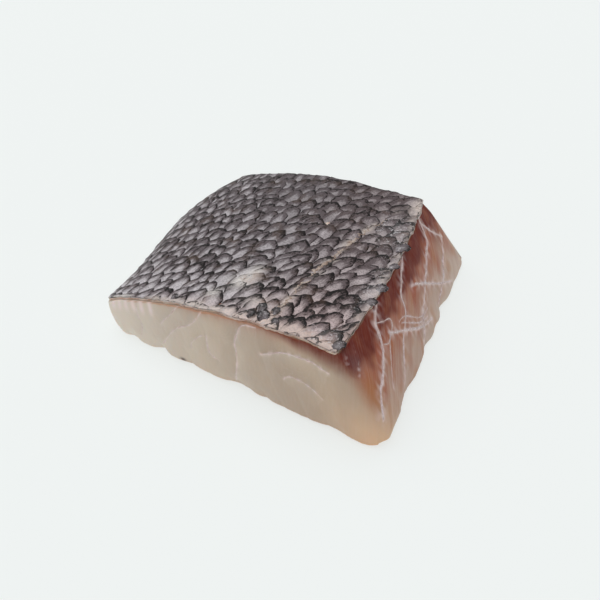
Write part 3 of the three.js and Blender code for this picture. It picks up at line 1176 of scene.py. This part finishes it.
frayed = attribute(tree, "to_edge")
frayed = calculate("ADD", frayed, ramp(streaks, 0.3, 0.7, -0.55, 0.55))
frayed = calculate("ADD", frayed, ramp(ripple, 0.3, 0.7, -0.5, 0.5))
frayed = calculate("ADD", frayed, ramp(tint, 0.0, 1.0, -0.5, 0.6))
frayed = calculate("MULTIPLY_ADD", attribute(tree, "rubbed"), 1.6, frayed)
spotty = calculate("ADD", frayed, ramp(pepper, 0.36, 0.66, -0.6, 0.75))
spotty = calculate("MULTIPLY_ADD", attribute(tree, "bold"), -0.5, spotty)
pale_share = calculate("SUBTRACT", ramp(frayed, 1.6, 5.4), times(dull, 0.75))
bare = paint_over(BARE_SKIN, [
    (ramp(cloud, 0.5, 0.68, 0.0, 0.65), RAW_SKIN),
    (ramp(pepper, 0.5, 0.62, 0.0, 0.4), SCALE_BODY),
])
bare_share = times(attribute(tree, "wear"), ramp(spotty, 0.5, 1.8, 0.15, 1.0))
bare_share = times(bare_share, ramp(streaks, 0.3, 0.55, 0.75, 1.0))

# the bands from the black free edge to the pale base are partly pigment and partly painted shade
colour = paint_over(SCALE_RIM, [
    (ramp(spotty, 0.3, 1.1), SCALE_SHADE),
    (ramp(spotty, 0.8, 2.0), SCALE_BODY),
    (ramp(cloud, 0.5, 0.75, 0, 0.5), SCALE_BROWN),
    (calculate("MAXIMUM", pale_share, 0.0), SCALE_PALE),
    (ramp(speckle, 0.45, 0.66, 0, 0.5), SCALE_SHADE),
    (times(dull, 0.35), SCALE_SHADE),
    (bare_share, bare),
])
colour = blend(attribute(tree, "blush"), colour, BLUSH, "MULTIPLY")
# painted glints: white specks in the wetter places stand in for highlights
colour = blend(times(wet_and_glints, ramp(pepper, 0.57, 0.64, 0, 0.9)), colour, PAINTED_GLINT)
connect(shader.inputs["Base Color"], colour)
connect(shader.inputs["Coat Weight"], wet_and_glints)
bump(shader, 0.3 * MM, (0.7, ripple), (0.6, streaks), (0.4, speckle))
print("the scales' finish has", len(tree.nodes), "nodes")

# %% Lay out the field
holder = make_object("field", [(0, 0, 0)])
values = {name: value for name, (kind, value) in FIELD_INPUTS.items()}
values["Finish"] = scale_paint
scales = grow("scales", holder, field_tree, field_sockets, values)
bpy.data.objects.remove(scale)
print("the flat field has", triangles(scales), "triangles")

# %% [markdown]
# ## Bend the field over the block and trim it
# On the fish the scales' columns lean a little towards the thick side and the scales grow towards it, so
# the field is first leaned and stretched. Then a smooth fitted formula takes a flat place, the distance
# across the skin and the place along the body, to shares of the block. The field is trimmed at the skin's
# edges and bent. The scales lie flatter towards the thin edge and the back cut, where they are finer.

# %% From flat skin to block
FIT_DEGREE = 5
FIT_STEPS = 90
REACH = 70
LEAN = 0.34
LEAN_EASE = 0.4
GROWTH_ACROSS = 0.14
GROWTH_ALONG = 0.16
CROWDING_TO_BACK = 0.05
WANDER = 0.9
WANDER_LENGTH = 38
FIT_SPAN_U = (-0.08, 1.06)
FIT_SPAN_V = (-0.08, 1.08)

fit_u, fit_v = (np.linspace(*span, FIT_STEPS) for span in (FIT_SPAN_U, FIT_SPAN_V))
fit_u, fit_v = np.meshgrid(fit_u, fit_v, indexing="ij")
surface = block(fit_u, fit_v, 1)
reach = np.hypot(*np.moveaxis(np.diff(surface, axis=0)[..., [0, 2]], -1, 0))
from_thick = np.concatenate([np.cumsum(reach[::-1], 0)[::-1], np.zeros((1, FIT_STEPS))])
flat_x = (surface[-1:, :, 0] - from_thick).ravel()
flat_y = surface[..., 1].ravel()


def powers(x, y):
    return np.polynomial.polynomial.polyvander2d(x / REACH, y / REACH, [FIT_DEGREE, FIT_DEGREE])


wanted = np.stack([fit_u.ravel(), fit_v.ravel()], -1)
fitted, *_ = np.linalg.lstsq(powers(flat_x, flat_y), wanted, rcond=None)
print("largest miss of the fit", np.abs(powers(flat_x, flat_y) @ fitted - wanted).max().round(4))
middle = (np.ptp(flat_x) / 2 + flat_x.min(), np.ptp(flat_y) / 2 + flat_y.min())


def lean_and_grow(x, y):
    p, q = x / REACH, y / REACH
    wander = [WANDER * unevenness(x, y, WANDER_LENGTH, seed) for seed in (61, 62)]
    across = REACH * (p + GROWTH_ACROSS * p * p + LEAN * (q - LEAN_EASE * q * q))
    along = REACH * (q - CROWDING_TO_BACK * q * q + GROWTH_ALONG * p * q)
    return across + wander[0] + middle[0], along + wander[1] + middle[1]


# %% Trim and bend
SEAT = 0.4
UNEVEN_EDGE = 0.3
FLAT_RUN = 0.22
LEAST_RELIEF = 0.4
FAR_OFF = 0.75
# Each side of the skin is a place on it and the way out.
SKIN_SIDES = (
    ((0, 0, 0), (-1, 0, 0)),
    ((1, 0, 0), (1, 0, 0)),
    ((0, 0, 0), (0, -1, 0)),
    ((0, 1, 0), (0, 1, 0)),
)


def trim(obj, sides):
    bm = bmesh.new()
    bm.from_mesh(obj.data)
    far = [v for v in bm.verts if max(abs(v.co.x - 0.5), abs(v.co.y - 0.5)) > FAR_OFF]
    bmesh.ops.delete(bm, geom=far, context="VERTS")
    for plane, normal in sides:
        parts = [*bm.verts, *bm.edges, *bm.faces]
        cut = bmesh.ops.bisect_plane(
            bm, geom=parts, plane_co=plane, plane_no=normal, clear_outer=True, dist=1e-7,
        )
        edges = [part for part in cut["geom_cut"] if isinstance(part, bmesh.types.BMEdge)]
        bmesh.ops.holes_fill(bm, edges=edges, sides=0)
    bmesh.ops.recalc_face_normals(bm, faces=bm.faces)
    bm.to_mesh(obj.data)
    bm.free()


def move(obj, places):
    obj.data.vertices.foreach_set("co", places.astype(np.float32).ravel())
    obj.data.update()


flat = coordinates(scales) / MM
flat_places = flat[:, 0], flat[:, 1]
crooked = [p + UNEVEN_EDGE * unevenness(*flat_places, 4, seed) for p, seed in zip(flat_places, (63, 64))]
shares = powers(*lean_and_grow(*crooked)) @ fitted
even_u, even_v = to_even(shares[:, 0], shares[:, 1])
move(scales, np.column_stack([even_u, even_v, flat[:, 2] * MM]))
trim(scales, SKIN_SIDES)
even = coordinates(scales).astype(float)
u, v = to_true(even[:, 0], even[:, 1])
inside = smooth(0, FLAT_RUN, u) * smooth(1, 1 - FLAT_RUN / 2, v)
relief = (even[:, 2] / MM - SEAT) * mix(LEAST_RELIEF, 1, inside)
move(scales, (block(u, v, 1) + normals(u, v) * relief[:, None]) * MM)
scales.data.shade_smooth()
print("scales have", triangles(scales), "triangles")

# %% [markdown]
# ## Wear of the skin
# The skin was scraped and handled. Its pigment is gone along the front edge, on a rubbed patch and over
# the sense line, and some places are wetter than others and get painted glints. A painted picture would
# fit one skin alone, so the wear is told by the place on the skin and stored on the vertices. In each
# formula the first number is the largest share.

# %% Wear of the skin
# Each patch is its share across and along, its reach both ways in millimetres and its strength.
BARE_PATCHES = (
    (0.497, 0.200, 4.2, 4.0, 1.0),
    (0.528, 0.262, 2.6, 4.6, 1.0),
    (0.430, 0.100, 3.0, 3.0, 0.8),
    (0.620, 0.110, 5.0, 3.5, 0.6),
    (0.712, 0.155, 1.7, 4.5, 1.0),
    (0.690, 0.050, 2.2, 3.5, 0.9),
    (0.975, 0.925, 3.0, 5.5, 1.0),
)
# places that are wetter and get painted glints
WET_AND_GLINT_PATCHES = (
    (0.930, 0.740, 9.0, 10.0, 0.8),
    (0.930, 0.050, 9.0, 5.0, 0.7),
    (0.970, 0.400, 4.0, 22.0, 0.6),
    (0.660, 0.060, 8.0, 5.0, 0.5),
    (0.505, 0.225, 5.0, 6.0, 0.8),
    (0.550, 0.000, 32.0, 3.5, 0.6),
)
DULL_PATCH = (0.455, 0.165, 6, 3)
SENSE_WAY = [
    (0.687, 0.0), (0.715, 0.136), (0.715, 0.236), (0.739, 0.34),
    (0.770, 0.527), (0.808, 0.655), (0.90, 0.86),
]


def skin_patch(u, v, reach_u, reach_v):
    return near((skin_u - u) * WIDTH, reach_u) * near((skin_v - v) * LENGTH, reach_v)


def patches(places):
    return sum(strength * skin_patch(*place) for *place, strength in places)


skin_u, skin_v = u, v
from_front = skin_v * LENGTH
from_side = (1 - skin_u) * WIDTH
uneven = unevenness(skin_u * WIDTH, skin_v * LENGTH, 12, 71)
torn = unevenness(skin_u * WIDTH, skin_v * LENGTH, 3.5, 72)
bare_depth = 1.2 + 2.5 * smooth(0.15, 0.4, skin_u) + 1.8 * smooth(0.62, 0.75, skin_u)
front_bare = smooth(bare_depth + 1.8, bare_depth - 1.8, from_front + 0.9 * uneven + 0.7 * torn)
way = smooth_path(SENSE_WAY)
along_way, _ = distance_to_path(np.stack([skin_u * WIDTH, skin_v * LENGTH], -1), way * (WIDTH, LENGTH))
sense_bare = 0.9 * near(along_way + 0.6 * torn, 1.3) * smooth(-0.3, 0.5, uneven)
side_bare = 0.6 * smooth(3.5, 0.5, from_side + 1.6 * torn)
dull = 0.3 + 0.4 * smooth(0.35, 1.0, skin_v) * smooth(0.1, 0.45, skin_u) + 0.2 * uneven
front_left = smooth(32, 8, from_front) * smooth(0.6, 0.35, skin_u)
front_blush = 0.5 * smooth(40, 8, from_front) * smooth(0.4, 0.75, skin_u)
front_blush = front_blush + 0.5 * smooth(10, 3, from_front) * smooth(0.1, 0.35, skin_u)
wear_fields = {
    "wear": patches(BARE_PATCHES) + 0.9 * front_bare + sense_bare + side_bare,
    "rubbed": patches(BARE_PATCHES) + 0.5 * front_bare + 0.4 * front_left,
    "bold": smooth(55, 15, from_front) * mix(0.4, 1, smooth(0.1, 0.45, skin_u)),
    "blush": 0.5 * smooth(0.45, 0.9, skin_u) + front_blush,
    "dull": np.maximum(dull, skin_patch(*DULL_PATCH)) * (1 - 0.9 * smooth(34, 10, from_front)),
    "wet_and_glints": patches(WET_AND_GLINT_PATCHES),
}
store(scales, {name: np.clip(values, 0, 1) for name, values in wear_fields.items()})
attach(scales, "root")
print("scales store", ", ".join(wear_fields))

# %% [markdown]
# ## Loose scales
# The knife lifted some scales at the front edge and left torn ones hanging over the thick side. They use
# the same plate, crumpled, bent round a small radius and tilted up.

# %% Loose scales
LOOSE_SCALES = [
    # share across, share along, size, heading, tilt, bend radius
    (0.622, 0.030, 0.62, -75, 34, 4.4),
    (0.648, 0.078, 0.60, -25, 18, 6.4),
    (0.678, 0.042, 0.70, 5, 16, 6.8),
    (0.702, 0.085, 0.50, -40, 14, 8.0),
    (0.732, 0.035, 0.44, 30, 14, 6.4),
    (0.300, 0.030, 0.42, -50, 20, 5.2),
    (0.985, 0.035, 0.66, -50, 4, 12.0),
    (0.985, 0.295, 0.60, -75, 4, 12.0),
    (0.985, 0.380, 0.72, -65, 4, 10.0),
    (0.990, 0.520, 0.50, -80, 4, 10.0),
    (0.985, 0.640, 0.72, -70, 4, 12.0),
]
CRUMPLE = 0.35
HELD_SHARE = 0.4
SHRUNK_LENGTH = 0.72
LOOSE_SEAT = 0.5
LOOSE_EDGE = 0.5
LOOSE_DULL = 0.3
# the loose scales are wet and get painted glints
LOOSE_WET_AND_GLINTS = 0.4


def bend(points, radius):
    angle = points[:, 1] / radius
    return np.column_stack([
        points[:, 0],
        (radius - points[:, 2]) * np.sin(angle),
        radius - (radius - points[:, 2]) * np.cos(angle),
    ])


crumpled = scale_points.copy()
crumpled[:, 2] += CRUMPLE * unevenness(crumpled[:, 0], crumpled[:, 1], 3.0, 73)
points, faces = [], []
for u, v, size, heading, tilt, radius in LOOSE_SCALES:
    turned, tipped = math.radians(heading), math.radians(tilt)
    normal = normals(u, v)
    forward = np.cross(normal, (math.cos(turned), math.sin(turned), 0))
    forward /= np.linalg.norm(forward)
    side = np.cross(forward, normal)
    held = crumpled - (0, SCALE_LENGTH * HELD_SHARE, 0)
    shape = bend(held * (size, size * SHRUNK_LENGTH, size), -radius)
    lifted = forward * math.cos(tipped) + normal * math.sin(tipped)
    upright = normal * math.cos(tipped) - forward * math.sin(tipped)
    first = total_length(points)
    curled = block(u, v, 1) + normal * LOOSE_SEAT + shape @ np.stack([side, lifted, upright])
    curled[:, 2] -= max(curled[:, 2].max() - HIGHEST[2], 0)
    points.append(curled)
    faces += [tuple(first + n for n in face) for face in scale_faces]
loose = make_object("loose_scales", np.vstack(points), faces)
store(loose, {
    "to_edge": np.tile(scale_numbers["to_edge"] * LOOSE_EDGE, len(LOOSE_SCALES)),
    "plate": np.tile(scale_numbers["plate"], (len(LOOSE_SCALES), 1)),
    "tint": np.repeat(np.linspace(0, 1, len(LOOSE_SCALES)), len(scale_points)),
    "dull": np.full(len(loose.data.vertices), LOOSE_DULL),
    "wet_and_glints": np.full(len(loose.data.vertices), LOOSE_WET_AND_GLINTS),
})
loose.data.materials.append(scale_paint)
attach(loose, "root")
print("loose scales have", triangles(loose), "triangles")

# %% [markdown]
# ## The pale line on the skin
# A fish carries a sense line along its side. Here the scales over it are torn and it shows as a thin pale
# ridge from the front edge to the back. Its paths are dropped onto the scales, and the strand tree gives
# them body.

# %% The pale line on the skin
SENSE_LINE = [
    (0.42, [(0.693, 0.07), (0.702, 0.11), (0.715, 0.15), (0.709, 0.19)]),
    (0.34, [(0.706, 0.21), (0.715, 0.24), (0.722, 0.28), (0.735, 0.31)]),
    (0.40, [(0.728, 0.33), (0.737, 0.367), (0.748, 0.41), (0.756, 0.45)]),
    (0.26, [(0.742, 0.37), (0.762, 0.45), (0.780, 0.52)]),
    (0.30, [(0.760, 0.47), (0.770, 0.51), (0.778, 0.54)]),
    (0.44, [(0.785, 0.56), (0.794, 0.59), (0.803, 0.63)]),
    (0.28, [(0.806, 0.64), (0.822, 0.68), (0.832, 0.70)]),
    (0.24, [(0.845, 0.73), (0.860, 0.756), (0.880, 0.80)]),
    (0.20, [(0.67, 0.03), (0.685, 0.07), (0.69, 0.11)]),
    (0.20, [(0.70, 0.02), (0.712, 0.06), (0.722, 0.10)]),
]
LINE_SINK = 0.35
LINE_SWELL = {"least": 0.08, "swing": 0.45, "wavelength": 5, "limits": (0, 2)}
LINE_STEPS = 26
LINE_WOBBLE = 0.006
DROP_HEIGHT = 5
LINE_FINISH = {"Roughness": 0.35, "Coat Weight": 0.4, "Coat Roughness": 0.12}

line_tones = srgb(200, 182, 168), srgb(150, 122, 106)
line_paint = two_tone("pale_line", 500, (0.4, 0.6), *line_tones, 0.2 * MM, LINE_FINISH)
scale_polygons = [list(p.vertices) for p in scales.data.polygons]
scale_tree = BVHTree.FromPolygons(coordinates(scales).tolist(), scale_polygons)
paths = []
for number, (radius, points) in enumerate(SENSE_LINE):
    u, v = smooth_path(points, LINE_STEPS).T
    u = u + LINE_WOBBLE * unevenness(np.linspace(0, SWELL_RUN, len(u)), 0, 5, 80 + number)
    out = normals(u, v)
    above = block(u, v, 1) + out * DROP_HEIGHT
    hits = [scale_tree.ray_cast(Vector(p * MM), Vector(-n))[0] for p, n in zip(above, out)]
    landed = [hit or Vector((p - DROP_HEIGHT * n) * MM) for hit, p, n in zip(hits, above, out)]
    radii = strand_radii(radius, len(u), 90 + number, **LINE_SWELL)
    paths.append((np.array(landed) / MM, out, radii))
line = strands("pale_line", paths, LINE_SINK, line_paint)
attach(line, "root")
print("pale line has", triangles(line), "triangles")
